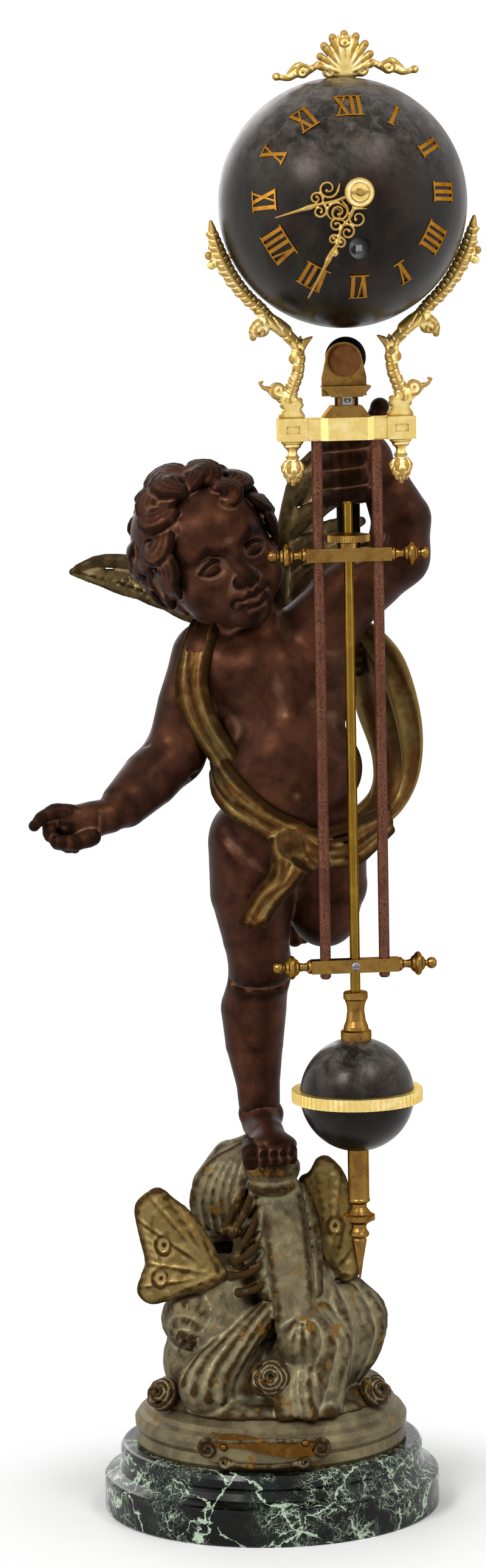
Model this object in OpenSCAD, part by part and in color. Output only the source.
/* [Base] */
// Diameter of the marble foot
marble_d = 176; // [170:1:186]
// Height of the marble foot
marble_h = 35.5; // [34:0.5:40]
// Diameter of the cast plinth on the marble
plinth_d = 141; // [138:1:146]

/* [Suspension] */
// Distance of the pendulum axis to the right of the base centre
pend_x = 46.9; // [45:0.1:49]
// Distance of the pendulum axis in front of the base centre
pend_reach = 60; // [58:0.5:62]
// Turn of the pendulum to the viewer's right
pend_yaw = 6; // [3:0.5:8]
// Height of the knife edge above the table
pivot_z = 582; // [578:1:584]
// Gap on each side of a running shaft
fit = 0.05; // [0.02:0.01:0.08]

/* [Clock ball] */
// Diameter of the ball that holds the movement
ball_d = 124.4; // [124:0.1:126]
// Height of the ball's centre
ball_z = 681.4; // [681:0.1:683]
// Wall of the spun ball
shell_t = 1.2; // [1:0.1:1.5]
// Upward tilt of the dial
ball_pitch = 5; // [3:0.5:7]
// Turn of the dial in its cradle
ball_roll = 1.7; // [0:0.1:3]
// Time shown, in minutes past eight
minutes = 34.5; // [30:0.5:40]

/* [Pendulum frame] */
// Distance between the two side rods
rod_gap = 30.2; // [29:0.1:32]
// Diameter of a side rod
side_rod_d = 5.5; // [5:0.1:6]
// Diameter of the centre rod
bob_rod_d = 5.1; // [4.8:0.1:5.4]
// Height of the yoke's centre
yoke_z = 569; // [568.5:0.5:570]
// Height of the upper crossbar's centre
upper_bar_z = 505.5; // [503:0.5:508]
// Height of the lower crossbar's centre
lower_bar_z = 296; // [294:0.5:298]

/* [Bob] */
// Height of the bob's centre
bob_z = 229.5; // [228:0.5:231]
// Diameter of the bob
bob_d = 58.4; // [57:0.1:60]
// Diameter of the reeded ring
ring_d = 67; // [65:0.5:68]

/* [Hidden] */

$fn = 64;
e = 0.01;                      // small overlap of a cutting tool
ball_r = ball_d / 2;
bob_r = bob_d / 2;
marble = "#1f2a24";
olive = "#6f6f58";
bronze = "#4a3026";
gilt = "#d8bb55";
brass = "#9c7b3a";
steel = "#8d8f92";
gunmetal = "#26292b";
rust = "#6b4c44";

// Frames of reference
module pendulum_frame() translate([pend_x, -pend_reach, 0]) rotate([0, 0, pend_yaw]) children();
module ball_frame() pendulum_frame() translate([0, 0, ball_z]) rotate([-ball_pitch, 0, 0])
  rotate([0, -ball_roll, 0]) children();
// In the dial frame z points out of the dial, x to the right and y to twelve o'clock
module dial_frame() ball_frame() rotate([90, 0, 0]) children();
// In the front frame shapes drawn flat stand upright and face the viewer
module upright(depth) rotate([90, 0, 0]) linear_extrude(depth, center = true) children();

// Shared shapes
module tube(r_out, r_in, h) difference() {
  cylinder(r = r_out, h = h);
  translate([0, 0, -e]) cylinder(r = r_in, h = h + 2 * e);
}
module limb(a, ra, b, rb, sides = 20) hull() {
  translate(a) sphere(r = ra, $fn = sides);
  translate(b) sphere(r = rb, $fn = sides);
}
module chain(points, radii, sides = 20) for (i = [0 : len(points) - 2])
  limb(points[i], radii[i], points[i + 1], radii[i + 1], sides);
module slab(points, r, sides = 10) hull() for (p = points) translate(p) sphere(r = r, $fn = sides);
function polar(r, a) = [r * cos(a), r * sin(a)];
function reversed(list) = [for (i = [len(list) - 1 : -1 : 0]) list[i]];
// Outline of a band with the given half widths along its middle line
function side_of(p, w, s) = [for (i = [0 : len(p) - 1])
  let (d = p[min(i + 1, len(p) - 1)] - p[max(i - 1, 0)], n = [-d[1], d[0]] / norm(d))
  p[i] + s * w[i] * n];
function band(p, w) = concat(side_of(p, w, 1), reversed(side_of(p, w, -1)));
// Trapezoid teeth with backlash, the first tooth at the given angle
function gear_outline(teeth, m, first) = [for (i = [0 : teeth - 1]) for (k = [-0.29, -0.13, 0.13, 0.29])
  polar(m * (teeth / 2 + (abs(k) < 0.2 ? 0.75 : -1.05)), first + 360 / teeth * (i + k))];
module gear(teeth, m, first, h, bore) linear_extrude(h) difference() {
  polygon(gear_outline(teeth, m, first));
  circle(r = bore);
}

// Marble foot and the two studs that clamp the casting to it
band_h = 19;
step_r = marble_d / 2 - 10;
stud_r = 3;
stud_x = 34;
recess_r = 13;
recess_h = 12;
plinth_rise = 24;
stud_top = marble_h + plinth_rise / 2;
module at_studs() for (s = [-1, 1]) translate([s * stud_x, 0, 0]) children();
module marble_base() color(marble) difference() {
  rotate_extrude($fn = 128) polygon([[0, 0], [marble_d / 2 - 1, 0], [marble_d / 2, 1],
    [marble_d / 2, band_h - 1], [marble_d / 2 - 1, band_h], [marble_d / 2 - 3, band_h + 0.6],
    [step_r + 2.5, band_h + 3], [step_r + 0.8, band_h + 6.5], [step_r + 0.6, band_h + 8],
    [step_r + 1.4, band_h + 9.5], [step_r + 1.4, marble_h - 3], [step_r, marble_h - 0.6],
    [step_r - 1.4, marble_h], [0, marble_h]]);
  at_studs() {
    translate([0, 0, -e]) cylinder(r = recess_r, h = recess_h + e);
    translate([0, 0, -e]) cylinder(r = stud_r + 0.5, h = marble_h + 2 * e);
  }
}
module clamp_studs() color(steel) at_studs() translate([0, 0, 2]) cylinder(r = stud_r, h = stud_top - 2);
module clamp_washers() color(steel) at_studs() translate([0, 0, recess_h - 1.5]) tube(11, stud_r, 1.5);
module clamp_nuts() color(steel) at_studs() translate([0, 0, recess_h - 6.5]) difference() {
  cylinder(r = 5.8, h = 5, $fn = 6);
  translate([0, 0, -e]) cylinder(r = stud_r, h = 5 + 2 * e);
}

// Cast plinth with a moulded rim and a cartouche
plinth_r = plinth_d / 2;
plinth_top = marble_h + plinth_rise;
cartouche_r = plinth_r + 3.2;
module plinth_turning() rotate_extrude($fn = 128) polygon([[0, marble_h], [plinth_r, marble_h],
  [plinth_r + 0.6, marble_h + 2], [plinth_r - 0.6, marble_h + 7], [plinth_r + 0.8, marble_h + 9.5],
  [plinth_r + 1, marble_h + 13], [plinth_r - 1, marble_h + 16], [plinth_r - 4, marble_h + 17.5],
  [plinth_r - 5, plinth_top - 3.5], [plinth_r - 10, plinth_top], [0, plinth_top]]);
module cartouche_outline() {
  translate([-25, marble_h + 5]) square([50, 11.5]);
  for (s = [-1, 1]) {
    translate([s * 25, marble_h + 11]) circle(r = 6.2);
    translate([s * 19, marble_h + 5]) circle(r = 3.4);
  }
}
module cast_plinth() color(olive) difference() {
  union() {
    plinth_turning();
    intersection() {
      translate([0, 0, marble_h]) cylinder(r = cartouche_r, h = plinth_rise, $fn = 128);
      translate([-4, -plinth_r, 0]) upright(16) cartouche_outline();
    }
  }
  at_studs() translate([0, 0, marble_h - e]) cylinder(r = stud_r, h = stud_top - marble_h + e);
}

// Ribbon plate, a wavy strip that follows the cartouche
ribbon_t = 0.8;
ribbon_half = 27;
ribbon_w = 7.2;
ribbon_z = marble_h + 14;
function ribbon_line(x) = ribbon_z - 2.6 * sin(x * 360 / 62);
module ribbon_outline() polygon(concat(
  [[-ribbon_half, ribbon_z], [3 - ribbon_half, ribbon_z + 3], [-ribbon_half, ribbon_z + 6.5]],
  [for (x = [-22 : 2 : 22]) [x, ribbon_line(x) + ribbon_w / 2]],
  [[ribbon_half, ribbon_z + 0.5], [ribbon_half - 3, ribbon_z - 3], [ribbon_half, ribbon_z - 6]],
  [for (x = [22 : -2 : -22]) [x, ribbon_line(x) - ribbon_w / 2]]));
module ribbon_plate() color("#8a6a35") intersection() {
  translate([-4, -plinth_r, 0]) upright(24) ribbon_outline();
  translate([0, 0, marble_h]) difference() {
    cylinder(r = cartouche_r + ribbon_t, h = 24, $fn = 128);
    translate([0, 0, -e]) cylinder(r = cartouche_r, h = 24 + 2 * e, $fn = 128);
  }
}
module ribbon_rivets() color(gilt) for (x = [-25, 17]) rotate([0, 0, x * 180 / (PI * cartouche_r)])
  translate([0, -cartouche_r - ribbon_t, ribbon_z + (x < 0 ? -1 : 1)]) intersection() {
    sphere(r = 2);
    translate([-3, -6, -3]) cube([6, 6, 6]);
  }

// Trophy of shells, horns and drapery that carries the figure
module below_plinth() translate([-100, -100, -1]) cube([200, 200, plinth_top + 1]);
module mound_form() difference() {
  union() {
    limb([0, 0, 62], 44, [2, 2, 84], 34, 18);
    limb([2, 4, 84], 34, [0, 6, 140], 20, 16);
    limb([0, 6, 140], 20, [-4, 4, 172], 13, 14);
    limb([-25, 2, 171], 13.5, [-14, 4, 140], 15, 14);
    limb([-38, -22, 108], 16, [-20, -10, 118], 17, 14);
    limb([-48, -28, 95], 9, [-36, -24, 84], 12, 12);
    limb([-30, -36, 84], 12, [-6, -34, 112], 12, 12);
    limb([13, -42, 95], 11, [26, -36, 78], 12, 12);
    limb([34, -14, 128], 10, [46, -18, 104], 13, 12);
    limb([50, -14, 112], 10, [48, -18, 84], 12, 12);
    limb([22, -6, 112], 16, [46, -18, 92], 12, 12);
    limb([-30, 24, 100], 14, [-14, 18, 130], 12, 12);
    limb([30, 26, 96], 15, [14, 18, 130], 12, 12);
    limb([0, -44, 72], 13, [2, -20, 84], 20, 12);
  }
  below_plinth();
}
module trophy_mound() color(olive) difference() {
  mound_form();
  strap_form();
}
module strap_form() union() {
  chain([[3, -12, 172], [7, -20, 166], [10, -30, 148], [12, -37, 128], [13, -42, 106]],
    [11, 9, 8, 8, 8.5], 14);
  limb([2, -8, 182.5], 12.5, [2, -22, 182.5], 12, 16);
  limb([3, -14, 172], 10, [4, -16, 164], 9, 12);
  limb([12, -38, 130], 8.5, [13, -43, 112], 9, 12);
  limb([1, -2, 180.5], 10, [1, 0, 170], 10, 12);
}
module strap_pier() color("#7a7468") difference() {
  strap_form();
  body_form();
}
module left_moth_wing() color("#87805a") difference() {
  union() {
    slab([[-66, -31, 168], [-59, -32, 172], [-50, -33, 166], [-30, -36, 136]], 3);
    slab([[-66, -31, 168], [-60, -32, 146], [-28, -36, 130], [-30, -36, 136]], 3);
    slab([[-62, -32, 133], [-56, -33, 122], [-28, -36, 130], [-60, -32, 144]], 3);
    limb([-28, -35, 132], 5, [-12, -16, 130], 8, 10);
  }
  mound_form();
}
module right_moth_wing() color("#87805a") difference() {
  union() {
    slab([[24, -12, 182], [30, -13, 186], [38, -15, 176], [34, -14, 150]], 3);
    slab([[24, -12, 182], [34, -14, 150], [34, -14, 132], [26, -10, 150]], 3);
    slab([[38, -15, 176], [46, -18, 142], [46, -18, 130], [34, -14, 132]], 3);
  }
  mound_form();
  strap_form();
}
module rose(r) {
  for (a = [0 : 72 : 288]) limb([r * 0.45 * cos(a), r * 0.45 * sin(a), 0], r * 0.5,
    [r * 0.5 * cos(a + 40), r * 0.5 * sin(a + 40), r * 0.1], r * 0.42, 8);
  translate([0, 0, r * 0.2]) sphere(r = r * 0.5, $fn = 8);
}
module base_roses() color(olive) difference() {
  union() {
    translate([1, -57, 78]) rotate([70, 0, 0]) rose(8.5);
    translate([-55, -29, 66]) rotate([30, -35, 0]) rose(8);
    translate([54, -27, 65]) rotate([30, 35, 0]) rose(8);
  }
  mound_form();
  below_plinth();
}

// Landmarks of the figure, on its left the side to the viewer's right
foot_z = 195;
ankle = [-3, 0, 214];
calf = [-5, 4, 262];
knee = [-1, -6, 292];
hip = [-4, 3, 350];
pelvis = [10, 1, 355];
waist = [17, -6, 388];
chest = [8, -3, 432];
neck = [-5, -4, 466];
head_c = [-20, -12, 507];
free_shoulder = [-27, 1, 448];
free_elbow = [-42, -2, 398];
free_wrist = [-77, -36, 372];
grip_shoulder = [34, -2, 470];
grip_elbow = [73, -22, 500];
grip_wrist = [63, -24, 541];
back_hip = [34, 6, 348];
back_knee = [33, 10, 312];
back_ankle = [28, 62, 318];

module body_form() union() {
  limb(chest, 26, waist, 23);
  limb(waist, 23, pelvis, 25);
  limb([16, -10, 392], 23, [13, -9, 372], 23.5);
  limb(chest, 25, free_shoulder, 15, 16);
  limb(chest, 25, [28, -2, 460], 17, 16);
  limb(neck, 12, chest + [0, 0, 10], 18, 16);
  limb(pelvis, 24, hip, 22);
  limb(hip, 22, knee, 15.5, 18);
  limb(knee, 15.5, calf, 16, 18);
  limb(calf, 16, ankle, 9.5, 18);
  limb(ankle, 9.5, [-1, -2, 201], 9, 14);
  limb([-1, -2, 201], 8.5, [3, -30, 200], 6.5, 14);
  limb(pelvis + [0, 12, 0], 20, back_hip, 16, 14);
}
module figure_body() color(bronze) body_form();
module head_form() union() {
  limb(head_c, 28, head_c + [6, -6, -12], 23, 20);
  limb(head_c + [6, -8, -12], 22, head_c + [16, -12, -24], 9, 16);
  limb(head_c + [2, 2, -20], 13, neck, 12.5, 14);
  for (a = [-60 : 35 : 150]) for (up = [20, 52])
    let (c = head_c + 29 * [cos(a) * cos(up), sin(a) * 0.2 - 0.7, sin(up)])
    limb(c, 9.5, c + [3, -3, 3], 8, 10);
  limb(head_c + [-32, -6, 2], 11, head_c + [-28, -4, -16], 10, 10);
  limb(head_c + [24, -8, 30], 9, head_c + [30, -6, 12], 8, 10);
}
module figure_head() color(bronze) difference() {
  head_form();
  body_form();
}
module free_arm_form() union() {
  chain([free_shoulder + [-4, 0, -4], free_elbow, free_wrist], [15.5, 14, 8], 16);
  limb(free_wrist, 8, [-92, -45, 373], 8.5, 12);
  chain([[-92, -46, 378], [-104, -54, 379], [-112, -60, 373]], [4.2, 3.6, 2.8], 8);
  chain([[-94, -50, 368], [-100, -57, 362], [-95, -60, 359]], [4, 3.6, 3], 8);
  chain([[-97, -47, 367], [-103, -50, 361], [-101, -46, 358]], [4, 3.6, 3], 8);
  limb([-88, -50, 369], 4, [-98, -59, 368], 3.2, 8);
}
module figure_free_arm() color(bronze) difference() {
  free_arm_form();
  body_form();
  head_form();
}
module raised_arm_form() difference() {
  union() {
    chain([grip_shoulder, grip_elbow, grip_wrist], [17.5, 14.5, 10.5], 14);
    limb(grip_wrist, 10, [57, -22, 549], 10, 12);
    for (i = [0 : 3]) chain([[58, -29, 560 - 9.5 * i], [49, -38, 558 - 9.5 * i],
      [40, -32, 556 - 9.5 * i]], [4.8, 4.6, 4], 8);
    limb([60, -20, 556], 7, [65, -20, 577], 5.2, 10);
  }
  translate([post_x, post_y, 500]) cylinder(r = post_r / cos(180 / 24), h = 110, $fn = 24);
}
module figure_raised_arm() color(bronze) difference() {
  raised_arm_form();
  body_form();
}
module back_leg_form() union() {
  chain([back_hip, back_knee, [31, 34, 312], back_ankle], [19.5, 16, 15.5, 9], 16);
  chain([back_ankle, [27, 72, 322], [26, 76, 302]], [9, 8.5, 6], 12);
  limb([27, 70, 318], 8, [26, 77, 296], 4.5, 10);
  limb([27, 72, 322], 8, [27, 78, 326], 6, 10);
  limb(back_hip, 18, [38, 4, 340], 16, 12);
}
module figure_back_leg() color(bronze) difference() {
  back_leg_form();
  body_form();
}
module sash_form() union() {
  chain([[-21, -2, 384], [-12, -22, 374], [4, -33, 361], [14, -34, 356]], [4, 5, 5, 7], 12);
  chain([[14, -34, 356], [30, -31, 360], [46, -20, 366], [52, -4, 372]], [7, 6, 6, 5.5], 12);
  chain([[12, -36, 354], [4, -41, 342], [0, -42, 332], [-8, -41, 322]], [7, 6.5, 6, 4.5], 12);
}
module figure_sash() color("#6b4a2c") difference() {
  sash_form();
  body_form();
  back_leg_form();
}
// Front and rear edges of the cloth that swings round the right side
drape_front = [[46, 12, 460], [62, 8, 456], [76, 4, 440], [84, 2, 411], [80, 2, 388], [67, 0, 364],
  [54, -6, 358]];
drape_rear = [[40, 32, 462], [50, 36, 452], [58, 36, 432], [63, 34, 406], [62, 30, 386], [58, 22, 368],
  [48, 12, 360]];
module drape_form() for (i = [0 : len(drape_front) - 2])
  slab([drape_front[i], drape_front[i + 1], drape_rear[i + 1], drape_rear[i]], 2, 8);
module flying_drape() color("#6f6a52") difference() {
  drape_form();
  body_form();
  raised_arm_form();
  back_leg_form();
  sash_form();
}
module left_figure_wing() color("#5f5c4a") difference() {
  union() {
    slab([[-10, 24, 470], [-4, 26, 450], [-62, 30, 497], [-60, 30, 487]], 2.5);
    slab([[-62, 30, 497], [-60, 30, 487], [-94, 32, 493], [-84, 32, 497]], 2.5);
    slab([[-10, 24, 470], [-40, 30, 492], [-50, 28, 480], [-8, 26, 455]], 3);
    limb([-9, 24, 461], 6, [0, 10, 448], 9, 10);
  }
  body_form();
  head_form();
}
module right_figure_wing() color("#5f5c4a") difference() {
  union() {
    slab([[14, 24, 460], [14, 26, 538], [30, 28, 555], [36, 28, 492]], 3);
    slab([[30, 28, 555], [40, 30, 540], [46, 31, 510], [36, 28, 492]], 2.5);
    slab([[40, 30, 540], [57, 32, 520], [56, 32, 508], [44, 31, 500]], 2.5);
    limb([18, 24, 468], 6, [14, 10, 448], 9, 10);
  }
  body_form();
  head_form();
  raised_arm_form();
  drape_form();
}

// Bracket that the figure grips
post_x = 48;
post_y = -24;
post_r = 6;
boss_z = 602.8;
boss_r = 10.3;
boss_shift = [1.8, 1.2];       // the boss stands to the right of its bore and above it
plate_y = 7.5;                 // back of the suspension plate behind the pendulum axis
plate_t = 3;
clamp_r = 2.45;                // shank of the thumbscrew
module bracket_post() color("#1c1a1a") union() {
  translate([post_x, post_y, 508]) cylinder(r = post_r, h = boss_z - 508);
  translate([post_x, post_y, 508]) sphere(r = post_r);
  pendulum_frame() translate([0, plate_y, boss_z]) rotate([-90, 0, 0]) difference() {
    translate([boss_shift[0], -boss_shift[1], 0]) cylinder(r = boss_r, h = 34);
    translate([0, 0, -e]) cylinder(r = clamp_r + fit, h = 16);
  }
}
cheek_top = pivot_z + 8.5;
cheek_bottom = pivot_z + 3;
module suspension_plate() color(brass) pendulum_frame() translate([0, plate_y - plate_t / 2, 0])
  upright(plate_t) difference() {
    union() {
      translate([0, boss_z]) circle(r = 9.2);
      polygon([[-11.2, cheek_top - 5.5], [11.2, cheek_top - 5.5], [11.2, cheek_top + 4], [8.9, boss_z + 2],
        [-8.9, boss_z + 2], [-11.2, cheek_top + 4]]);
    }
    translate([0, boss_z]) circle(r = clamp_r + fit);
  }
module suspension_cheek() color(brass) pendulum_frame() translate([0, -1.25, 0]) upright(11.5)
  polygon([[-12, cheek_top], [12, cheek_top], [12, cheek_top - 0.8], [7.7, cheek_bottom],
    [-7.7, cheek_bottom], [-12, cheek_top - 0.8]]);
bed_drop = 1.05;
module bearing_hooks() color(steel) pendulum_frame() for (y = [-5, 3]) translate([0, y, 0]) upright(2)
  difference() {
    translate([-2.6, pivot_z - bed_drop]) square([5.2, cheek_bottom - pivot_z + bed_drop]);
    polygon([[0, pivot_z], [1.8, pivot_z + 1], [1.8, pivot_z + 2.4], [-1.8, pivot_z + 2.4],
      [-1.8, pivot_z + 1]]);
  }
module thumbscrew() color("#6e4a2c") pendulum_frame() translate([0, plate_y - plate_t, boss_z])
  rotate([90, 0, 0]) union() {
    cylinder(r = 7.6, h = 1);
    translate([0, 0, 1]) linear_extrude(5) polygon([for (a = [0 : 3 : 357])
      polar(a % 6 == 0 ? 8 : 7.75, a)]);
    translate([0, 0, 6]) cylinder(r = 7.2, h = 0.8);
    translate([0, 0, -plate_t - 12]) cylinder(r = clamp_r, h = 12 + plate_t + e);
  }

// Knife carrier and yoke
yoke_h = 11.4;
yoke_top = yoke_z + yoke_h / 2;
carrier_top = pivot_z - 1.5;
knife_half = 6.4;
module knife_carrier() color(brass) pendulum_frame() difference() {
  union() {
    upright(11) polygon([[-12, yoke_top], [12, yoke_top], [7.6, carrier_top], [-7.6, carrier_top]]);
    translate([0, -1, 0]) upright(5) polygon([[-4, carrier_top - e], [4, carrier_top - e],
      [4, pivot_z + 2.3], [-4, pivot_z + 2.3]]);
  }
  upright(20) knife_outline();
}
module knife_outline() polygon([[0, pivot_z], [1, pivot_z + 1.7], [-1, pivot_z + 1.7]]);
module knife_blade() color(steel) pendulum_frame() translate([0, -1, 0]) upright(2 * knife_half - 2)
  knife_outline();

block_x = 27.4;                // middle of an end block
block_w = 14.4;
module yoke() color(gilt) pendulum_frame() difference() {
  union() {
    translate([-block_x, -5, yoke_z - 5]) cube([2 * block_x, 10, 10]);
    for (s = [-1, 1]) translate([s * block_x - block_w / 2, -6, yoke_z - yoke_h / 2])
      cube([block_w, 12, yoke_h]);
    translate([0, 0, yoke_z - yoke_h / 2]) linear_extrude(yoke_h)
      polygon([[-13.6, -4.9], [-10, -7.4], [10, -7.4], [13.6, -4.9]]);
    translate([-block_x, -4, yoke_z - yoke_h / 2]) cube([2 * block_x, 8, yoke_h]);
  }
  for (s = [-1, 1]) {
    translate([s * rod_gap / 2, 0, yoke_z - yoke_h / 2 - e]) cylinder(r = side_rod_d / 2, h = 7);
    translate([s * block_x - 3.4, -6 - e, yoke_z - 1.9]) cube([6.8, 1 + e, 3.8]);
  }
}
// Middle line of the right lyre arm and its half widths
cradle_r = ball_r + 4.6;
arm_arc = [for (a = [-7 : -5.5 : -51]) polar(cradle_r, a) + [0, ball_z]];
arm_line = concat(arm_arc, [[38.5, 625], [31.5, 619], [25.2, 612.5], [22.8, 605], [24.2, 596.5],
  [27, 590], [29.5, 584], [28, 579], [27.4, 576.5], [27.4, yoke_top]]);
arm_half = concat([for (i = [0 : len(arm_arc) - 1]) 2.6 + 1.6 * sin(180 * i / 8)],
  [3.6, 3.4, 3.1, 2.9, 3.2, 3.6, 4.4, 5.2, 6, 6]);
screw_angle = -24;             // place of the cradle screws below the ball's middle
screw_r = 1.2;
screw_seat = cradle_r + 3.6;   // distance of a screw head's seat from the ball's centre
module at_screws() for (s = [0, 1]) mirror([s, 0, 0]) translate([0, 0, ball_z])
  rotate([0, 90 - screw_angle, 0]) children();
module lyre_arm() difference() {
  union() {
    upright(9) polygon(band(arm_line, arm_half));
    upright(7) union() {
      translate([33.5, 589.5]) circle(r = 4.3);
      polygon(band([[35, 588], [38.5, 591], [41, 590.5], [42.5, 592.5]], [2.2, 1.8, 1.1, 0.7]));
      polygon(band([[30, 622], [37, 622], [42, 621], [45.5, 616.5]], [2.5, 3.4, 3, 1.2]));
      polygon(band([[24, 608], [20.5, 612], [17, 615]], [3, 2, 0.8]));
    }
  }
  translate([0, 0, ball_z]) sphere(r = ball_r + 0.05);
  at_screws() {
    cylinder(r = screw_r, h = 90);
    translate([0, 0, screw_seat]) cylinder(r = 2.4, h = 20);
  }
}
module cradle_screws() color(gilt) pendulum_frame() at_screws() {
  translate([0, 0, ball_r - shell_t - 2]) cylinder(r = screw_r, h = screw_seat + 2.5 - ball_r + shell_t);
  translate([0, 0, screw_seat]) cylinder(r = 1.9, h = 1.2);
  translate([0, 0, screw_seat + 2.2]) sphere(r = 2.2);
}
module right_lyre_arm() color(gilt) pendulum_frame() lyre_arm();
module left_lyre_arm() color(gilt) pendulum_frame() mirror([1, 0, 0]) lyre_arm();
module acorn_finials() color(gilt) pendulum_frame() for (s = [-1, 1])
  translate([s * block_x, 0, yoke_z - yoke_h / 2]) rotate_extrude() polygon([[0, 0], [4.6, 0],
    [4.6, -0.8], [3.4, -1.6], [2.6, -3.4], [2.8, -5], [3.6, -5.6], [3.4, -6.4], [2.4, -7.2], [4.4, -8.6],
    [5, -11], [4.4, -13.6], [3.2, -16], [2.3, -17.6], [1.8, -19], [0, -20]]);

// Pendulum frame below the yoke
bar_w = 7;
bar_h = 6.8;
nut_seat = upper_bar_z + bar_h / 2;
rod_bottom = lower_bar_z - bar_h / 2 - 3;
module side_rods() color(rust) pendulum_frame() for (s = [-1, 1]) translate([s * rod_gap / 2, 0, 0]) {
  translate([0, 0, rod_bottom + 1])
    cylinder(r = side_rod_d / 2, h = yoke_z - yoke_h / 2 + 5.9 - rod_bottom);
  translate([0, 0, rod_bottom]) cylinder(r1 = side_rod_d / 2 - 0.8, r2 = side_rod_d / 2, h = 1);
}
module crossbar(half, z) difference() {
  translate([-half, -bar_w / 2, z - bar_h / 2]) cube([2 * half, bar_w, bar_h]);
  for (s = [-1, 1]) translate([s * rod_gap / 2, 0, z - bar_h]) cylinder(r = side_rod_d / 2, h = 2 * bar_h);
  translate([0, 0, z - bar_h]) cylinder(r = bob_rod_d / 2 + fit, h = 2 * bar_h);
}
upper_half = 21.7;
lower_half = 22.4;
module upper_crossbar() color(brass) pendulum_frame() crossbar(upper_half, upper_bar_z);
module lower_crossbar() color(brass) pendulum_frame() difference() {
  crossbar(lower_half, lower_bar_z);
  translate([0, 0, lower_bar_z]) rotate([90, 0, 0]) cylinder(r = 1.2, h = bar_w);
}
module bar_finial() rotate_extrude() polygon([[0, 0], [3.4, 0], [3.6, 0.8], [3.2, 1.6], [2.2, 2.4],
  [1.9, 4], [2.3, 6], [3.8, 7], [4.4, 8], [5.2, 8.6], [6, 9.4], [6, 10.6], [5.2, 11.4], [3.8, 12],
  [3, 13], [1.6, 13.8], [1.5, 14.6], [2.4, 15.2], [2.9, 16.4], [2.9, 17.4], [2.4, 18.6], [1.3, 19.4],
  [0, 19.6]]);
module crossbar_finials() color(brass) pendulum_frame() for (s = [-1, 1])
  for (b = [[upper_half, upper_bar_z], [lower_half, lower_bar_z]])
    translate([s * b[0], 0, b[1]]) rotate([0, s * 90, 0]) bar_finial();
module lock_screw() color(steel) pendulum_frame() translate([0, -bar_w / 2, lower_bar_z])
  rotate([90, 0, 0]) difference() {
    union() {
      cylinder(r = 2.2, h = 0.9);
      translate([0, 0, 0.9]) cylinder(r1 = 2.2, r2 = 1.5, h = 0.6);
      translate([0, 0, 0.3 + fit + bob_rod_d / 2 - bar_w / 2]) cylinder(r = 1.2,
        h = bar_w / 2 - 0.3 - fit - bob_rod_d / 2 + e);
    }
    translate([-3, -0.3, 0.8]) cube([6, 0.6, 2]);
  }

// Ball, dial and crest
hub_hole_r = 5;
key_y = -26;                   // winding arbor below the hub
key_hole_r = 5.3;
module half_shell(front) difference() {
  sphere(r = ball_r, $fn = 128);
  sphere(r = ball_r - shell_t, $fn = 128);
  translate([-80, -80, front ? -160 : 0]) cube([160, 160, 160]);
}
module screw_holes() pendulum_frame() at_screws() cylinder(r = screw_r, h = 90);
module ball_front_shell() color(gunmetal) difference() {
  dial_frame() difference() {
    half_shell(true);
    translate([0, 0, 30]) cylinder(r = hub_hole_r, h = 40);
    translate([0, key_y, 30]) cylinder(r = key_hole_r, h = 40);
  }
  screw_holes();
}
module ball_rear_shell() color(gunmetal) difference() {
  dial_frame() half_shell(false);
  screw_holes();
}
numeral_ring = 45.5;           // angle between the hub and the middle of a numeral
numeral_h = 15;
stroke = 1.9;
numeral_t = 0.6;
// A numeral as a row of strokes: one, five or ten, with its width
function glyph_w(c) = c == "I" ? 3.5 : c == "V" ? 6 : 7;
function row_w(s, i = 0) = i == len(s) ? 0 : glyph_w(s[i]) + row_w(s, i + 1);
module bar_to(a, b, w) polygon([a + [-w / 2, 0], a + [w / 2, 0], b + [w / 2, 0], b + [-w / 2, 0]]);
module glyph(c) {
  h = numeral_h / 2 - 0.3;
  w = glyph_w(c) / 2 - 1.1;
  if (c == "I") bar_to([0, -h], [0, h], stroke);
  if (c == "V") {
    bar_to([0, -h], [-w, h], stroke);
    bar_to([0, -h], [w, h], stroke * 0.5);
  }
  if (c == "X") {
    bar_to([w, -h], [-w, h], stroke);
    bar_to([-w, -h], [w, h], stroke * 0.5);
  }
}
module numeral(s) {
  total = row_w(s);
  for (i = [0 : len(s) - 1]) translate([total / 2 - row_w(s, i) + glyph_w(s[i]) / 2, 0]) glyph(s[i]);
  for (y = [-1, 1]) translate([-total / 2, y * (numeral_h / 2 - 0.4) - 0.4]) square([total, 0.8]);
}
numerals = ["XII", "I", "II", "III", "IIII", "V", "VI", "VII", "VIII", "IX", "X", "XI"];
module dial_numerals() color("#b08535") dial_frame() for (h = [0 : 11]) difference() {
  intersection() {
    sphere(r = ball_r + numeral_t, $fn = 128);
    rotate([0, 0, -30 * h]) rotate([-numeral_ring, 0, 0]) translate([0, 0, ball_r - 3])
      linear_extrude(6) numeral(numerals[h]);
  }
  sphere(r = ball_r + 0.01, $fn = 128);
}
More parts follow.
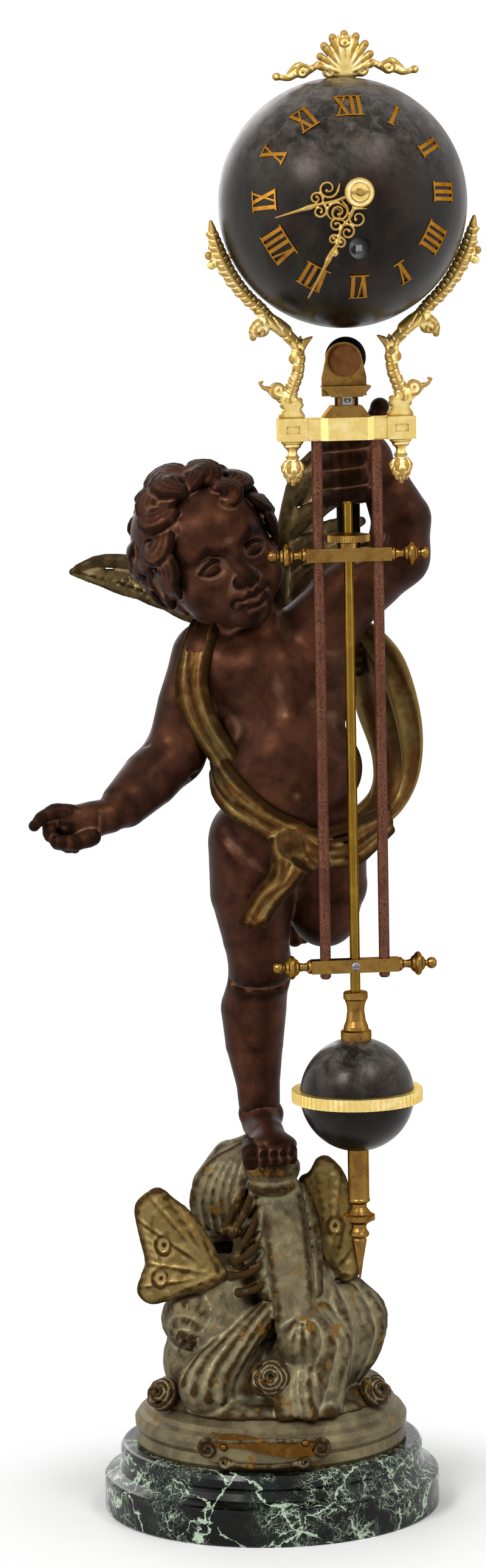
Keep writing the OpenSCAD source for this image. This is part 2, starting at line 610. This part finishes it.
// Crest of a palmette between two scroll arms
crest_z = ball_z + ball_r + 0.1;
function leaf(a, r0, r1, w) = let (n = 8) [for (k = [0 : n]) let (t = k / n, s = w * sin(180 * t))
  polar(r0 + (r1 - r0) * t, a) + s * [-sin(a), cos(a)],
  for (k = [n - 1 : -1 : 1]) let (t = k / n, s = w * sin(180 * t))
  polar(r0 + (r1 - r0) * t, a) - s * [-sin(a), cos(a)]];
module crest() color(gilt) pendulum_frame() translate([2.6, 0, crest_z]) rotate([0, -2, 0]) difference() {
  union() {
    upright(6) union() {
      for (a = [20 : 23.3 : 160]) polygon(leaf(a, 1, 15.5 + 4.5 * sin(a), 2.6));
      translate([-6.5, 0]) square([13, 5]);
    }
    for (s = [-1, 1]) upright(5) union() {
      polygon(band([for (t = [0 : 0.1 : 1]) s * [5 + 21 * t, 0] + [0, 4.5 - 4 * t + 1.5 * sin(360 * t)]],
        [for (t = [0 : 0.1 : 1]) 1.3 + sin(180 * t)]));
      translate([s * 21, 3.2]) circle(r = 3.1);
      polygon(band([[s * 24, 1.4], [s * 28, 0.2], [s * 32, 1.2]], [1.5, 1.2, 1]));
      translate([s * 33, 1.5]) circle(r = 2);
    }
  }
  translate([-2.6, 0, -ball_r - 0.1]) sphere(r = ball_r + 0.05);
}

// Hands that follow the ball
minute_angle = 90 - 6 * minutes;
hour_angle = 90 - 30 * (8 + minutes / 60);
module on_sphere(lift, t) intersection() {
  difference() {
    sphere(r = ball_r + lift + t, $fn = 128);
    sphere(r = ball_r + lift, $fn = 128);
  }
  translate([0, 0, 5]) linear_extrude(80) children();
}
module loop2d(p, r, w) translate(p) difference() {
  circle(r = r, $fn = 40);
  circle(r = r - w, $fn = 40);
}
module minute_outline() {
  circle(r = 7.2);
  for (p = [[11, 2.6, 4.6], [12, -4.2, 4.2], [19, 1.2, 4.4], [18, -5, 3], [27, 0, 3.2]])
    loop2d([p[0], p[1]], p[2], 1.1);
  polygon(band([[6, -2], [14, -0.8], [23, -1.4], [30, 0.6], [35, 0], [42, 0.4], [57.5, 0]],
    [1.1, 1, 0.9, 1.4, 1.8, 1.1, 0.5]));
}
module hour_outline() {
  circle(r = 6);
  for (p = [[15.5, 6, 4.8], [14.5, -6.5, 5], [19.5, 0, 3.6]]) loop2d([p[0], p[1]], p[2], 1.1);
  polygon(band([[5, 1], [12, 0.6], [20, 0], [26, 0.8], [29, 0], [41.3, 0]], [1.4, 1.1, 1, 1.6, 1.1, 0.5]));
}
cannon_r = 2.6;
hour_pipe_r = 4;
arbor_r = 1.5;
module minute_hand() color(gilt) dial_frame() difference() {
  union() {
    on_sphere(3.4, 0.8) rotate([0, 0, minute_angle]) minute_outline();
    translate([0, 0, ball_r + 3.5]) cylinder(r = 7.3, h = 2);
    translate([0, 0, ball_r + 5.5]) cylinder(r1 = 5.4, r2 = 4.2, h = 1.4);
    translate([0, 0, 41]) cylinder(r = cannon_r, h = ball_r + 5 - 41);
    translate([0, 0, 39.4]) linear_extrude(1.8) polygon(gear_outline(10, 0.5, motion_angle));
  }
  translate([0, 0, 38]) cylinder(r = arbor_r, h = 60);
}
module hour_hand() color(gilt) dial_frame() difference() {
  union() {
    on_sphere(2, 0.8) rotate([0, 0, hour_angle]) hour_outline();
    translate([0, 0, 43]) cylinder(r = hour_pipe_r, h = ball_r + 2.2 - 43);
    translate([0, 0, 42]) linear_extrude(1) polygon(gear_outline(32, 0.5, motion_angle));
  }
  translate([0, 0, 40]) cylinder(r = cannon_r + fit, h = 40);
}

// Movement: plates, barrel, train and inner pendulum
back_z = 18;
front_z = 36;
plate_r = 38;
motion_angle = 45;
barrel_teeth = 54;
centre_pinion = 11;
third_angle = 20;
third = polar(18, third_angle);
escape_angle = 115;
escape = third + polar(15.075, escape_angle);
anchor = [0, 27];
pivots = [[0, 0, arbor_r], [0, key_y, 2], [third[0], third[1], 1], [escape[0], escape[1], 1],
  [anchor[0], anchor[1], 1]];
module plate_with_pivots(h) difference() {
  translate([0, -4, 0]) cylinder(r = plate_r, h = h);
  for (p = pivots) translate([p[0], p[1], -e]) cylinder(r = p[2] + fit, h = h + 2 * e);
}
minute_wheel_at = polar(10, motion_angle);
module movement_frame() color(brass) dial_frame() {
  difference() {
    union() {
      translate([0, 0, back_z]) plate_with_pivots(2);
      translate([0, 0, front_z]) plate_with_pivots(2);
      for (p = [[27.8, 18.5], [-27.8, 18.5], [31, -12], [-31, -12]]) {
        translate([p[0], p[1], back_z + 1]) cylinder(r = 2.2, h = front_z - back_z);
        translate([p[0], p[1], 1]) cylinder(r = 2.2, h = back_z);
      }
      difference() {
        cylinder(r = ball_r - shell_t - 0.05, h = 2, $fn = 128);
        translate([0, 0, -e]) cylinder(r = 29, h = 3);
      }
      translate([minute_wheel_at[0], minute_wheel_at[1], front_z + 1]) cylinder(r = 0.9, h = 7);
    }
  }
}
module mainspring_barrel() color(brass) dial_frame() translate([0, key_y, 0]) {
  difference() {
    union() {
      translate([0, 0, 21]) gear(barrel_teeth, 0.8, 90, 1.4, 2 + fit);
      translate([0, 0, 22.4 - e]) cylinder(r = 13.5, h = 8.6);
    }
    translate([0, 0, 20]) cylinder(r = 2 + fit, h = 14);
    translate([0, 0, 23.4]) tube(12.4, 5, 6.4);
  }
}
module mainspring() color(steel) dial_frame() translate([0, key_y, 23.6]) tube(12, 6, 6);
module winding_arbor() color(steel) dial_frame() translate([0, key_y, 0]) {
  translate([0, 0, back_z - 1]) cylinder(r = 2, h = 28);
  translate([-1.6, -1.6, 44]) cube([3.2, 3.2, 8.4]);
  translate([0, 0, front_z + 2.3]) linear_extrude(1.2) polygon([for (i = [0 : 17])
    for (k = [0, 1]) polar(k == 0 ? 9 : 7.4, i * 20 + 2 * k)]);
}
module minute_wheel() color(brass) dial_frame() translate([minute_wheel_at[0], minute_wheel_at[1], 39.7]) {
  gear(30, 0.5, motion_angle + 180 + 6, 1, 0.9 + fit);
  translate([0, 0, 1 - e]) gear(8, 0.5, motion_angle + 180 + 22.5, 2.6, 0.9 + fit);
}
module centre_wheel() color(brass) dial_frame() {
  translate([0, 0, back_z - 1]) cylinder(r = arbor_r, h = ball_r + 9.4 - back_z);
  translate([0, 0, 20.6]) linear_extrude(2.4) polygon(gear_outline(centre_pinion, 0.8,
    270 + 180 / centre_pinion));
  translate([0, 0, 32]) gear(64, 0.5, third_angle, 1, arbor_r - 0.1);
  translate([-4, -0.5, ball_r + 7]) cube([8, 1, 1]);
}
module third_wheel() color(brass) dial_frame() translate([third[0], third[1], 0]) {
  translate([0, 0, back_z - 1]) cylinder(r = 1, h = 21);
  translate([0, 0, 31]) gear(8, 0.5, third_angle + 180 + 22.5, 3, 0.9);
  translate([0, 0, 27]) gear(60, 0.45, escape_angle, 1, 0.9);
}
module escape_wheel() color(brass) dial_frame() translate([escape[0], escape[1], 0]) {
  translate([0, 0, back_z - 1]) cylinder(r = 1, h = 21);
  translate([0, 0, 26]) gear(7, 0.45, escape_angle + 180 + 180 / 7, 3, 0.9);
  translate([0, 0, 23]) linear_extrude(0.9) polygon([for (i = [0 : 14])
    for (k = [0, 1]) polar(k == 0 ? 8.6 : 6.4, i * 24 + 5 * k)]);
}
module inner_pendulum() color(steel) dial_frame() translate([anchor[0], anchor[1], 0]) {
  translate([0, 0, 10]) cylinder(r = 1, h = 28);
  translate([0, 0, 23]) linear_extrude(1)
    polygon([[-5, 1], [0, 3], [5, 1.6], [5.4, 0.2], [0, -0.5], [-4.6, -0.8]]);
  translate([-0.7, -44, 11]) cube([1.4, 44, 1.4]);
  translate([0, -44, 8.5]) cylinder(r = 8, h = 6);
}

// Centre rod, rating nut and bob
socket_top = 282.5;
bob_top = bob_z + bob_r;
rod_top = 532.5;
thread_z = 488;
module bob_rod() color("#a58a3a") pendulum_frame() union() {
  translate([0, 0, bob_top - 20]) cylinder(r = bob_rod_d / 2, h = thread_z - bob_top + 20);
  translate([0, 0, thread_z]) cylinder(r = bob_rod_d / 2 - 0.1, h = rod_top - 1 - thread_z);
  translate([0, 0, rod_top - 1]) cylinder(r1 = bob_rod_d / 2 - 0.1, r2 = bob_rod_d / 2 - 0.8, h = 1);
}
module rating_nut() color(brass) pendulum_frame() translate([0, 0, nut_seat]) difference() {
  union() {
    cylinder(r = 5.2, h = 2.6);
    translate([0, 0, 2.6 - e]) cylinder(r1 = 5.2, r2 = 9.8, h = 0.8 + e);
    translate([0, 0, 3.4]) linear_extrude(3.4) polygon([for (a = [0 : 3 : 357])
      polar(a % 6 == 0 ? 11.3 : 11, a)]);
    translate([0, 0, 6.8]) cylinder(r1 = 10.6, r2 = 7, h = 0.7);
  }
  translate([0, 0, -e]) cylinder(r = bob_rod_d / 2 - 0.1 + fit, h = 9);
}
module bob_socket() color(brass) pendulum_frame() difference() {
  rotate_extrude() polygon([[0, bob_top - 1.2], [7.6, bob_top - 1.2], [7.8, bob_top + 0.6],
    [7.8, bob_top + 3.6], [6.4, bob_top + 4.4], [6.2, bob_top + 6], [5, bob_top + 9], [4.35, bob_top + 14],
    [4.6, bob_top + 17], [5.6, bob_top + 19.6], [6.2, bob_top + 20.4], [6.2, socket_top - 0.4],
    [5.8, socket_top], [0, socket_top]]);
  translate([0, 0, bob_top - 5]) cylinder(r = bob_rod_d / 2, h = 40);
  translate([0, 0, bob_z]) sphere(r = bob_r);
}
module bob_shell() color(gunmetal) pendulum_frame() translate([0, 0, bob_z]) difference() {
  sphere(r = bob_r, $fn = 128);
  sphere(r = bob_r - 1, $fn = 128);
  cylinder(r = bob_rod_d / 2, h = 40);
  translate([0, 0, -40]) cylinder(r = 3, h = 40);
}
module bob_lead() color("#55585c") pendulum_frame() translate([0, 0, bob_z]) difference() {
  sphere(r = bob_r - 1, $fn = 128);
  translate([0, 0, bob_r - 20]) cylinder(r = bob_rod_d / 2, h = 40);
  translate([0, 0, -40]) cylinder(r = 3, h = 25);
}
module bob_ring() color(gilt) pendulum_frame() translate([0, 0, bob_z - 3]) difference() {
  linear_extrude(6) polygon([for (a = [0 : 2.5 : 357.5]) polar(ring_d / 2 - (a % 5 == 0 ? 0 : 0.4), a)]);
  translate([0, 0, 3]) sphere(r = bob_r, $fn = 128);
}
tail_top = bob_z - bob_r;
tip_z = 133;
module bob_tail() color(brass) pendulum_frame() union() {
  difference() {
    rotate_extrude() polygon([[0, tail_top + 4], [5.4, tail_top + 4], [5.4, 175.5], [5.7, 175],
      [5.7, 174], [5, 173.4], [4, 172.6], [3.9, 170.8], [5.2, 169], [6.4, 167.6], [7.4, 167], [7.4, 164],
      [6, 163.4], [4, 162], [3.5, 160], [4.2, 158.4], [5, 157.4], [5, 156.2], [4.2, 155.4], [3.2, 154.8],
      [3.7, 153.6], [2, 144], [0.3, tip_z], [0, tip_z]]);
    translate([0, 0, bob_z]) sphere(r = bob_r, $fn = 128);
  }
  translate([0, 0, 164.2]) linear_extrude(2.6) polygon([for (a = [0 : 4.5 : 355.5])
    polar(a % 9 == 0 ? 8.1 : 7.8, a)]);
  translate([0, 0, bob_z - 15]) mirror([0, 0, 1]) cylinder(r = 3, h = bob_r - 14);
}

marble_base();
clamp_studs();
clamp_washers();
clamp_nuts();
cast_plinth();
trophy_mound();
strap_pier();
left_moth_wing();
right_moth_wing();
base_roses();
ribbon_plate();
ribbon_rivets();
figure_body();
figure_head();
figure_free_arm();
figure_raised_arm();
figure_back_leg();
figure_sash();
flying_drape();
left_figure_wing();
right_figure_wing();
bracket_post();
suspension_plate();
suspension_cheek();
bearing_hooks();
thumbscrew();
knife_carrier();
knife_blade();
yoke();
left_lyre_arm();
right_lyre_arm();
cradle_screws();
acorn_finials();
side_rods();
upper_crossbar();
lower_crossbar();
crossbar_finials();
lock_screw();
ball_front_shell();
ball_rear_shell();
crest();
dial_numerals();
movement_frame();
mainspring_barrel();
mainspring();
winding_arbor();
centre_wheel();
minute_wheel();
minute_hand();
hour_hand();
third_wheel();
escape_wheel();
inner_pendulum();
bob_rod();
rating_nut();
bob_socket();
bob_shell();
bob_lead();
bob_ring();
bob_tail();
